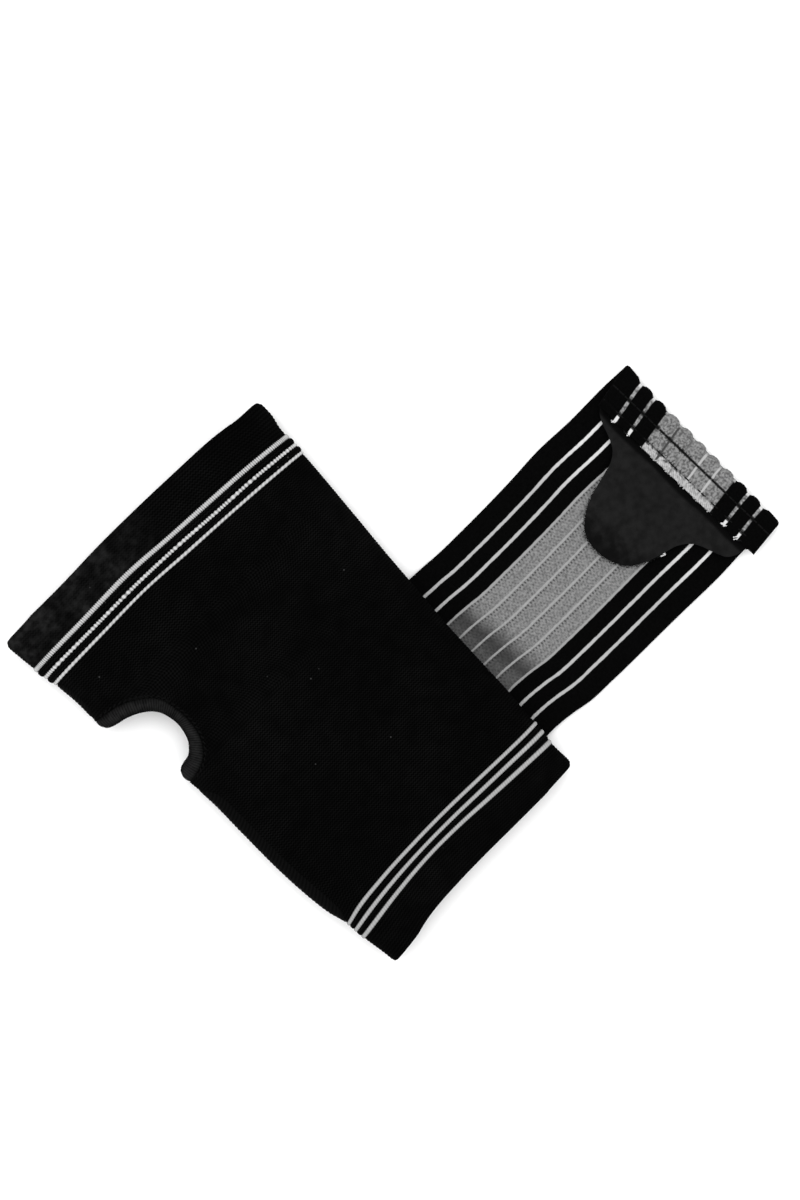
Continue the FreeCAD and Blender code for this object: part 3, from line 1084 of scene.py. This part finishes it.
# %% Rows across the turned end
rows = [g.math("ABSOLUTE", g.math("SUBTRACT", flap_x, row)) for row in END_ROWS]
faint_share = g.math("MULTIPLY_ADD", upper, 0.7, 0.3)
faint_row = g.math("MULTIPLY", g.band(rows[0], 0.4, 0.1), faint_share)
dark_row = g.band(rows[1], 0.5, 0.25)
broken_row = g.math("MULTIPLY", dark_row, g.math("MULTIPLY_ADD", wobble, 0.4, 0.55))
row_shade = g.math("MAXIMUM", g.math("MULTIPLY", faint_row, 0.5), broken_row)
row_shade = g.math("MULTIPLY", row_shade, flap)
near_row = g.math("MAXIMUM", g.band(rows[0], 1.3, 0.5), g.band(rows[1], 1.3, 0.5))
crossed = g.math("MAXIMUM", g.band(rows[0], 0.8, 0.5), g.band(rows[1], 0.8, 0.5))
crossed = g.math("MULTIPLY", crossed, flap)
dark_spots = g.math("MULTIPLY", g.band(patchy, 0.5, 0.2), g.math("MULTIPLY", near_row, flap))
dark_spots = g.math("MULTIPLY", dark_spots, g.math("MULTIPLY_ADD", upper, 0.5, 0.3))
junction = g.math("MULTIPLY", g.band(from_line, 1.0, 0.5), g.math("MULTIPLY", crossed, upper))
dark_spots = g.math("MAXIMUM", dark_spots, g.math("MULTIPLY", junction, 0.9))
print("stitch rows at x", [round(float(row), 1) for row in END_ROWS])

# %% [markdown]
# The grey weave is a lattice of small dots over a fine grain. On the turned end it is a
# coarser, patchy grey. A painted shadow beside each line, on its side away from the lamp,
# shows as a row of dark pricks.

# %% The grey weave
DOT_ALONG, DOT_ACROSS = 1.0, 1.73
along_dots = g.math("DIVIDE", u, DOT_ALONG)
across_dots = g.math("DIVIDE", v, DOT_ACROSS)
rise = g.wave(g.math("ADD", along_dots, across_dots))
fall = g.wave(g.math("SUBTRACT", along_dots, across_dots))
dots = g.math("MULTIPLY", rise, fall)
weave = g.math("MULTIPLY_ADD", dots, -0.2, g.math("MULTIPLY_ADD", grain, 1.1, 0.05))
grey_panel = g.mix(g.band(weave, 0.2, 0.85), grey(0.07), grey(0.195))
grey_panel = g.mix(flap, grey_panel, g.mix(patchy, grey(0.07), grey(0.2)))
# Painted shadow beside each line, on its side away from the lamp, as a row of dark pricks.
shadow_line = g.band(g.math("ABSOLUTE", g.math("SUBTRACT", phase, 0.36)), 0.075, 0.03)
pricks = g.band(g.wave(along_dots), 0.4, 0.8)
shadow_dots = g.math("MULTIPLY", g.math("MULTIPLY", shadow_line, pricks), on_bed)
grey_panel = g.mix(g.math("MULTIPLY", shadow_dots, 0.85), grey_panel, grey(0.035))
print("a dot every", DOT_ALONG, "mm along and", DOT_ACROSS, "mm across")

# %% [markdown]
# Near the sleeve the grey is darker, and a little less so right beside the sleeve.
# The strip at the cut end is paler, and streaked.

# %% The darkening and the pale strip
darkening_edge = g.math("ADD", u, g.math("MULTIPLY_ADD", cloud, 3.0, -1.5))
darkening_edge = g.math("ADD", darkening_edge, g.math("MULTIPLY", v, 0.06))
darkening = g.band(darkening_edge, 53.0, 45.0)
by_sleeve = g.band(darkening_edge, 46.0, 41.0)
darkening = g.math("MULTIPLY", darkening, g.math("MULTIPLY_ADD", by_sleeve, -0.3, 1.0))
grey_panel = g.mix(g.math("MULTIPLY", darkening, 0.88), grey_panel, grey(0.02))
strip_edge = g.math("MULTIPLY_ADD", wobble, 0.8, flap_x)
pale_strip = g.math("MULTIPLY", flap, g.band(strip_edge, 116.5, 115.9))
streaks = g.wave(g.math("ADD", g.math("DIVIDE", v, 0.7), g.math("DIVIDE", u, 1.2)))
streaks = g.math("MULTIPLY_ADD", streaks, 0.4, g.math("MULTIPLY", patchy, 0.5))
grey_panel = g.mix(pale_strip, grey_panel, g.mix(streaks, grey(0.17), grey(0.42)))
grey_panel = g.mix(dark_spots, grey_panel, grey(0.02))
panel = g.mix(inside, g.mix(grain, grey(0.0003), grey(0.002)), grey_panel)
print("the stain ends by U", 53.0)

# %% [markdown]
# The outer lines are pale, and brighter towards the tab. The lines inside the grey are
# duller. On the turned end both are worn, and dark where a stitch row crosses them.

# %% The lines' colours and the finish
pale_line = g.mix(g.band(u, 84.0, 106.0), grey(0.34), grey(0.56))
pale_line = g.mix(g.math("MULTIPLY", wobble, 0.5), pale_line, grey(0.26))
pale_line = g.mix(g.math("MULTIPLY", border, 0.75), pale_line, grey(0.2))
flap_line = g.mix(patchy, grey(0.07), grey(0.25))
flap_line = g.mix(pale_strip, flap_line, grey(0.5))
flap_line = g.mix(crossed, flap_line, grey(0.03))
pale_line = g.mix(flap, pale_line, flap_line)
worn_side = g.math("MULTIPLY_ADD", cloud, 8.0, g.math("SUBTRACT", v, 6.0))
flap_inside = g.mix(g.band(worn_side, -2.0, 2.0), grey(0.32), grey(0.04))
line_inside = g.mix(flap, g.mix(grain, grey(0.18), grey(0.29)), flap_inside)
colour = g.mix(on_line, panel, g.mix(within, pale_line, line_inside))
colour = g.mix(row_shade, colour, grey(0.0018))
weft = g.wave(g.math("DIVIDE", u, WEAVE))
g.bump(g.math("ADD", weave, g.math("MULTIPLY", weft, 0.2)), 0.12 * MM, 0.7)
elastic = g.finish(colour, 0.85, 0.01)
print("made", elastic.name)

# %% [markdown]
# ## Lengths of strap, joint by joint
# The frame's strap bends at seven hinges. A length of cloth over each hinge reaches from the
# middle of one stiff length to the middle of the next. The lengths at either end ride on their bodies.

# %% Cut the strap into lengths
boxes = [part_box("strap_under_sleeve")] + [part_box(f"strap_link_{n}") for n in range(1, 6)]
LINK = (boxes[2][0].x - boxes[1][0].x) / MM
HALF_GAP = 0.075
hinges = [(boxes[n][0].x - origin[0]) / MM - HALF_GAP for n in range(1, 6)]
hinges.append(hinges[-1] + LINK)
swing = (boxes[0][0].x - origin[0]) / MM
root_start = (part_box("strap_root")[0].x - origin[0]) / MM
TURN_FROM = 122.5


for number, hinge in enumerate(hinges, 1):
    low, high = hinge - LINK / 2, hinge + LINK / 2
    nodes = [f"strap_link_{number}"] if number < 6 else []
    piece = webbing(f"Strap_Bend_{number}", at(low), at(high), nodes)
    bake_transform(piece)
SWING_REACH = 3.0
strap_run = webbing(
    "Strap_Under_Sleeve", at(swing + SWING_REACH), at(hinges[0] - LINK / 2), ["strap_under_sleeve"]
)
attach(strap_run, "strap_run")
strap_end = webbing(
    "Strap_Under_Tab", at(hinges[-1] + LINK / 2), at(TURN_FROM), ["strap_under_tab"]
)
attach(strap_end, "strap_end")


# %% [markdown]
# ## The sewn root and its swing
# The strap's other end is sewn flat to the back of the sleeve. Between the stitches and
# the first free length it can fold back, so that bit blends from the sleeve to the strap.

# %% Root and swing
ROOT_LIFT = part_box("strap_root")[0].z / MM


def rooted(name, low, high, nodes):
    """Length of webbing that rises to the back of the sleeve towards its sewn end."""
    piece = webbing(name, at(low), at(high), nodes)
    mesh = piece.data
    flat = np.empty(len(mesh.vertices) * 3)
    mesh.vertices.foreach_get("co", flat)
    points = flat.reshape(-1, 3)
    along = (points[:, 0] - origin[0]) / MM
    points[:, 2] += ROOT_LIFT * MM * (1 - ease(along, swing - 1, swing + SWING_REACH))
    mesh.vertices.foreach_set("co", points.ravel())
    mesh.update()
    return piece


strap_root = rooted("Strap_Root", root_start, swing - 1.0, ["strap_root"])
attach(strap_root, "sleeve")
strap_swing = rooted("Strap_Swing", swing - 1.0, swing + SWING_REACH, [])
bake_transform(strap_swing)
root_rows = [root_start + x for x in (2.0, 5.0, 8.0)]
root_y = STRAP_LINE + np.linspace(-27.5, 27.5, 23)
places = [(x, y, 0.32, math.pi / 2) for x in root_rows for y in root_y]
strap_thread = thread_material("Dark strap thread", 0.0008, 0.004)
root_stitches = copies("Strap_Root_Stitches", one_stitch(1.9, 0.5, 0.4), places)
wear(root_stitches, seam_thread)
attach(root_stitches, "sleeve")
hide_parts("strap_root_stitches")
print("root stitches:", len(places))

# %% [markdown]
# ## The turned-over end
# The end turns up and back over itself. Two hinges open it. Its lower and upper quarter
# turns are lengths of their own, and the flat part rides with the hook tab.

# %% Turn the end over
def apex(offset):
    """Half way round the turn, at the outermost point of the strap."""
    return bend_start(offset) + BEND * math.pi / 2


def upper_from(offset):
    """Where the turn is over and the flat upper part begins."""
    return 2 * bend_start(offset) + BEND * math.pi - TURN_FROM


def raw_edge(offset):
    """The cut end isn't quite straight: it wanders a little, panel by panel."""
    wander = 0.25 * np.sin(offset * 1.1) + 0.2 * np.sin(offset * 2.9 + 1)
    return 2 * bend_start(offset) + BEND * math.pi - RAW_EDGE + 0.3 * wander


turn_low = webbing("Strap_Turn_Lower", at(TURN_FROM), apex, ["strap_turn"], rows=20)
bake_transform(turn_low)
turn_high = webbing("Strap_Turn_Upper", apex, upper_from, [], rows=20)
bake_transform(turn_high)
turned_end = webbing("Strap_Turned_End", upper_from, raw_edge, ["strap_turned_end"], rows=36)
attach(turned_end, "tab_end")
print("turned end:", len(turned_end.data.polygons), "faces")

# %% [markdown]
# ## Stitch rows and fringe
# Two rows of stitches hold the turned end down, each in the groove that its thread pulls.

# %% Sew the end
def flap_spot(x, offset):
    """Place on the turned end's upper face, from its x and its offset across."""
    offset = np.array([float(offset)])
    run = 2 * bend_start(offset) + BEND * math.pi - x
    return web_point(run, offset, -1.0)[0]


SUNK = {1: 0.46, 2: 0.34}
ROW_LEAN = 0.03
for number, row in enumerate(END_ROWS, 1):
    places = []
    for offset in np.arange(-28.6, 28.8, 2.2):
        spot = flap_spot(row, offset)
        places.append((row, spot[1], TOP - SUNK[number], math.pi / 2 + ROW_LEAN))
    stitches = copies(f"End_Stitch_Row_{number}", one_stitch(1.95, 0.42, 0.35), places)
    wear(stitches, strap_thread)
    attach(stitches, "tab_end")
    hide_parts(f"end_stitch_row_{number}")

print("stitch rows:", len(END_ROWS))

# %% [markdown]
# The webbing was cut, so short ends of its yarn stick out: grey from the middle panels,
# white where a line ends, and black from the outer bands. They reach out furthest at a
# line, and a seeded dice scatters them, the same way every time.

# %% Fray the cut end
dice = np.random.default_rng(7)


def fringe(name, offsets, reach, material):
    """Short cut ends of yarn along the raw edge."""
    places = []
    for offset in offsets:
        spot = flap_spot(RAW_EDGE + 0.9, offset)
        scatter = dice.uniform(-0.3, 0.3) + 0.4 * math.cos(offset * 2 * math.pi / PANEL)
        turn = dice.uniform(-1.0, -0.3)
        y = spot[1] + dice.uniform(-0.2, 0.2)
        z = TOP - 0.6 + dice.uniform(-0.3, 0.1)
        places.append((RAW_EDGE + 0.45 + reach * scatter, y, z, turn))
    ends = copies(name, one_stitch(1.35, 0.42, 0.4), places)
    wear(ends, material)
    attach(ends, "tab_end")
    return ends


pale_fringe = thread_material("Pale cut yarn", 0.1, 0.4)
white_fringe = thread_material("White cut yarn", 0.35, 0.6)
dark_fringe = thread_material("Black cut yarn", 0.001, 0.006)
grey_ends = fringe(
    "Fringe_Grey", np.arange(-GREY_HALF + 0.2, GREY_HALF, 0.34), 0.6, pale_fringe
)
white_at = [line + step for line in (*LINES[:2], *LINES[-2:]) for step in (-0.5, 0.0, 0.5)]
white_ends = fringe("Fringe_White", white_at, 1.0, white_fringe)
black_at = [x for x in np.arange(-27.5, 27.6, 0.5) if abs(x) > GREY_HALF + 0.3]
black_ends = fringe("Fringe_Black", black_at, 0.7, dark_fringe)
print("cut ends:", len(grey_ends.data.polygons), "faces")

# %% [markdown]
# ## The hook tab
# The tab is a bell-shaped piece of stiff tape. Its outline starts as a circle's edge, each
# vertex is moved to the bell, and the face is then extruded, bevelled and inset for the
# pressed rim. The tab's straight edge is hidden under the turned end.

# %% Cut the tab
TAB = (
    (121.2, -3.2), (114.2, -3.0), (112.6, -4.3), (111.0, -7.2), (109.7, -10.6), (107.9, -13.8),
    (105.4, -15.7), (101.4, -16.9), (95.3, -18.4), (91.0, -20.2), (87.5, -22.6), (85.4, -25.2),
    (84.5, -28.6), (84.5, -32.2), (85.6, -36.3), (87.6, -39.6), (91.0, -41.9), (96.0, -43.9),
    (101.2, -45.6), (104.3, -48.1), (105.7, -50.7), (107.0, -54.6), (108.5, -57.7),
    (110.6, -59.1), (114.2, -59.9), (121.2, -60.1),
)
TAB_POINTS = 240


def tab_outline(border=0.0):
    """Closed bell outline, evenly spaced, drawn in by a border."""
    corners = np.array(TAB)
    steps = np.concatenate([[0], np.cumsum(np.hypot(*np.diff(corners, axis=0).T))])
    fine = np.linspace(0, steps[-1], 900)
    line = np.stack([flow(fine, steps, corners[:, 0]), flow(fine, steps, corners[:, 1])], axis=1)
    line = np.vstack([line, [[121.2, y] for y in np.linspace(-59.9, -3.4, 60)]])
    ahead = np.roll(line, -1, axis=0) - np.roll(line, 1, axis=0)
    inward = np.stack([-ahead[:, 1], ahead[:, 0]], axis=1)
    inward /= np.hypot(*inward.T)[:, None]
    line = line + border * inward
    gaps = np.hypot(*(np.roll(line, -1, axis=0) - line).T)
    travel = np.concatenate([[0], np.cumsum(gaps)])
    closed = np.vstack([line, line[:1]])
    even = np.linspace(0, travel[-1], TAB_POINTS, endpoint=False)
    return np.stack([np.interp(even, travel, closed[:, i]) for i in (0, 1)], axis=1)


print("the tab's outline has", len(tab_outline()), "points")


# %% [markdown]
# The plate is stiff, so the tab rides on the last body in one piece.

# %% Press the tab
def tab_plate(name, outline, low, high, rim, pressed):
    """Plate of tape with a bevelled upper edge and a pressed rim."""
    bpy.ops.object.select_all(action="DESELECT")
    bpy.ops.mesh.primitive_circle_add(vertices=TAB_POINTS, radius=1, fill_type="NGON")
    piece = bpy.context.object
    piece.name = name
    for vertex, (x, y) in zip(piece.data.vertices, outline):
        vertex.co = (origin[0] + x * MM, origin[1] + y * MM, low * MM)
    bpy.ops.object.mode_set(mode="EDIT")
    bpy.ops.mesh.select_all(action="SELECT")
    bpy.ops.mesh.extrude_region_move(TRANSFORM_OT_translate={"value": (0, 0, (high - low) * MM)})
    if rim:
        for width, rise in ((0.18, 0.14), (rim, 0), (0.2, -pressed)):
            bpy.ops.mesh.inset(thickness=width * MM, depth=rise * MM, use_even_offset=False)
    bpy.ops.mesh.select_all(action="SELECT")
    bpy.ops.mesh.normals_make_consistent(inside=False)
    bpy.ops.object.mode_set(mode="OBJECT")
    bpy.ops.object.shade_smooth_by_angle(angle=math.radians(50))
    return piece


tab_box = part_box("hook_tab")
TAB_LOW, TAB_HIGH = tab_box[0].z / MM, tab_box[1].z / MM
hook_tab = tab_plate("Hook_Tab", tab_outline(), TAB_LOW, TAB_HIGH - 0.14, 0.75, 0.1)
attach(hook_tab, "tab_end")
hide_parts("hook_tab")
print("tab:", len(hook_tab.data.polygons), "faces")

# %% [markdown]
# The tape is matt, brushed and dark grey. It is fuzzier at its tip, where it has been
# pulled open most, and darker towards the tip. Painted shade darkens it along the line where
# the strap's cut end sits on it.

# %% The tape material
g = Graph("Hook tape back")
place = g.object_place()
split = g.tree.nodes.new("ShaderNodeSeparateXYZ")
g.put(split.inputs[0], place)
x = g.math("MULTIPLY", g.math("SUBTRACT", split.outputs[0], float(origin[0])), 1000.0)
nap = g.band(g.noise(420.0, 5.0), 0.25, 0.75)
patch = g.noise(70.0, 2.0)
brushed = g.math("MULTIPLY_ADD", nap, 0.6, g.math("MULTIPLY", patch, 0.4))
base = g.mix(brushed, grey(0.0036), grey(0.0105))
tip = g.band(g.math("ADD", x, g.math("MULTIPLY_ADD", nap, 4.0, -2.0)), 94.0, 85.6)
base = g.mix(g.math("MULTIPLY", tip, 0.85), base, grey(0.0014))
# Painted shade along the line where the strap's cut end sits on the tab.
crease_shade = g.band(g.math("ADD", x, g.math("MULTIPLY_ADD", patch, 2.0, -1.0)), 111.5, 112.6)
base = g.mix(g.math("MULTIPLY", crease_shade, 0.9), base, grey(0.0008))
g.bump(nap, 0.08 * MM, 0.6)
tape = g.finish(base, 0.9, 0.04)
wear(hook_tab, tape)
print("made", tape.name)

# %% [markdown]
# Loose fibres stand out round the wide part of the tab, where it has been pulled open.

# %% Fray the tab
FUZZ_TO = 97
fibre_places = []
for x, y in tab_outline(-0.1):
    if x < FUZZ_TO:
        for _ in range(2):
            turn = dice.uniform(0, math.pi)
            height = TAB_LOW + dice.uniform(0.2, 0.7)
            aside, along = dice.uniform(-0.2, 0.2), dice.uniform(-0.2, 0.2)
            fibre_places.append((x + aside, y + along, height, turn))
tab_fuzz = copies("Tab_Fuzz", one_stitch(1.0, 0.13, 0.1), fibre_places)
wear(tab_fuzz, dark_fringe)
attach(tab_fuzz, "tab_end")
print("loose fibres:", len(fibre_places))

# %% [markdown]
# A short end of white thread peeks out from under the tab, beside its wide part.

# %% Tuck in the loose thread
THREAD_AT = (96.6, -44.3)
thread_places = []
for step in (-0.4, -0.1, 0.2, 0.5):
    place = (THREAD_AT[0] + step, THREAD_AT[1] - 0.25 * step)
    thread_places.append((*place, TAB_LOW + 0.25, 0.5 + step))
loose_thread = copies("Loose_Thread", one_stitch(1.1, 0.4, 0.3), thread_places)
wear(loose_thread, white_fringe)
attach(loose_thread, "tab_end")
print("loose thread:", len(loose_thread.data.polygons), "faces")

# %% [markdown]
# ## The hooks
# Under the tab is the gripping side: a thin base with rows of tiny plastic hooks. One hook
# is a thin cone, bent over at its end, with only a few faces, because there are hundreds.

# %% The base and one hook
HOOK_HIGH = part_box("hook_field")[1].z / MM
BACKING = 0.12
field = tab_outline(1.0)
field[:, 0] = np.minimum(field[:, 0], RAW_EDGE - 0.1)
hook_base = tab_plate("Hook_Base", field, HOOK_HIGH - BACKING, HOOK_HIGH, 0, 0)
bpy.ops.object.select_all(action="DESELECT")
bpy.ops.mesh.primitive_cylinder_add(
    vertices=5, radius=0.13 * MM, depth=0.2 * MM, end_fill_type="NGON"
)
hook = bpy.context.object
bpy.ops.object.mode_set(mode="EDIT")
bpy.ops.mesh.select_all(action="DESELECT")
bpy.ops.object.mode_set(mode="OBJECT")
for polygon in hook.data.polygons:
    polygon.select = polygon.normal.z < -0.9
bpy.ops.object.mode_set(mode="EDIT")
bpy.ops.mesh.select_mode(type="FACE")
bpy.ops.mesh.extrude_region_move(TRANSFORM_OT_translate={"value": (0.08 * MM, 0, -0.1 * MM)})
bpy.ops.transform.resize(value=(0.8, 0.8, 0.8))
bpy.ops.mesh.extrude_region_move(TRANSFORM_OT_translate={"value": (0.16 * MM, 0, -0.02 * MM)})
bpy.ops.transform.resize(value=(0.5, 0.5, 0.5))
bpy.ops.mesh.select_all(action="SELECT")
bpy.ops.mesh.normals_make_consistent(inside=False)
bpy.ops.object.mode_set(mode="OBJECT")


print("one hook:", len(hook.data.polygons), "faces")


# %% [markdown]
# The hooks stand in staggered rows wherever there is room inside the tab's outline. Base
# and hooks are the same dark, slightly shiny plastic.

# %% Plant the hooks
HOOK_STEP = 1.45


def inside_outline(x, y, outline):
    """True where a place is inside a closed outline, by counting crossings."""
    x0, y0 = outline.T
    x1, y1 = np.roll(outline, -1, axis=0).T
    crosses = (y0 > y) != (y1 > y)
    slope = np.where(crosses, (x1 - x0) / np.where(y1 == y0, 1, y1 - y0), 0)
    return np.sum(crosses & (x < x0 + slope * (y - y0))) % 2 == 1


inner = tab_outline(1.6)
places = []
for row, x in enumerate(np.arange(85.5, RAW_EDGE - 0.6, HOOK_STEP)):
    for y in np.arange(-60, -2, HOOK_STEP) + 0.7 * (row % 2):
        if inside_outline(x, y, inner):
            places.append((x, y, HOOK_HIGH - BACKING - 0.1, 0.0))
hooks = copies("Hook_Field", hook, places)
g = Graph("Hook plastic")
tint = g.noise(300.0, 3.0)
g.bump(tint, 0.03 * MM, 0.4)
hook_plastic = g.finish(g.mix(tint, grey(0.004), grey(0.012)), 0.4, 0.4)
for piece in (hooks, hook_base):
    wear(piece, hook_plastic)
    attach(piece, "tab_end")
    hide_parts("hook_field")
print("hooks:", len(places))

# %% [markdown]
# ## What is cloth
# A cuff is knitted twice as high and doubled. Here it is modelled as one thick sheet, so
# it is declared at its finished height. The strap is one length of webbing, made in
# parts.

print("the cuffs are modelled as single thick sheets")

# %% [markdown]
# ## Floor and light
# A white floor, a white sky and one large soft lamp on the hand side give a bright
# product picture with faint shadows.

# %% Floor and light
bpy.ops.object.select_all(action="DESELECT")
FLOOR_SIZE, FLOOR_GAP = 6.0, 0.0002
bpy.ops.mesh.primitive_plane_add(size=FLOOR_SIZE, location=(0, 0, -FLOOR_GAP))
floor = bpy.context.object
floor.name = "Floor"
bpy.ops.object.transform_apply(location=True)
g = Graph("White paper")
wear(floor, g.finish(g.mix(g.noise(3.0), grey(0.9), grey(0.92)), 0.95, 0.0))

world = bpy.data.worlds.new("White sky")
bpy.context.scene.world = world
world.use_nodes = True
world.node_tree.nodes["Background"].inputs["Color"].default_value = (1, 1, 1, 1)
world.node_tree.nodes["Background"].inputs["Strength"].default_value = 1.5

KEY_POWER, KEY_SIZE = 7.0, 1.2
KEY_SIDE, KEY_BACK, KEY_HEIGHT = 0.05, 0.75, 1.45
bpy.ops.object.light_add(type="AREA", location=(KEY_SIDE, KEY_BACK, KEY_HEIGHT))
key = bpy.context.object
key.name = "Key_Light"
key.data.energy = KEY_POWER
key.data.size = KEY_SIZE
key.rotation_euler = (-math.atan2(KEY_BACK, KEY_HEIGHT), 0, 0)

print("stage light:", KEY_POWER, "W from a lamp of", KEY_SIZE, "m")

# %% [markdown]
# ## Camera
# The camera hangs straight above the brace, with a long lens, turned so that the sleeve
# lies across the picture from corner to corner.

# %% Camera
LENS, SENSOR = 120.0, 36.0
PICTURE_HEIGHT = 0.3343
TURN = math.radians(-46.118)
camera_data = bpy.data.cameras.new("Camera")
camera_data.lens = LENS
camera_data.sensor_width = SENSOR
camera = bpy.data.objects.new("Camera", camera_data)
bpy.context.scene.collection.objects.link(camera)
camera.location = (-0.00324, -0.00144, PICTURE_HEIGHT * LENS / SENSOR + 0.005)
camera.rotation_euler = (0, 0, TURN)
bpy.context.scene.camera = camera
bpy.context.scene.view_settings.view_transform = "Standard"
print("camera at", tuple(camera.location))
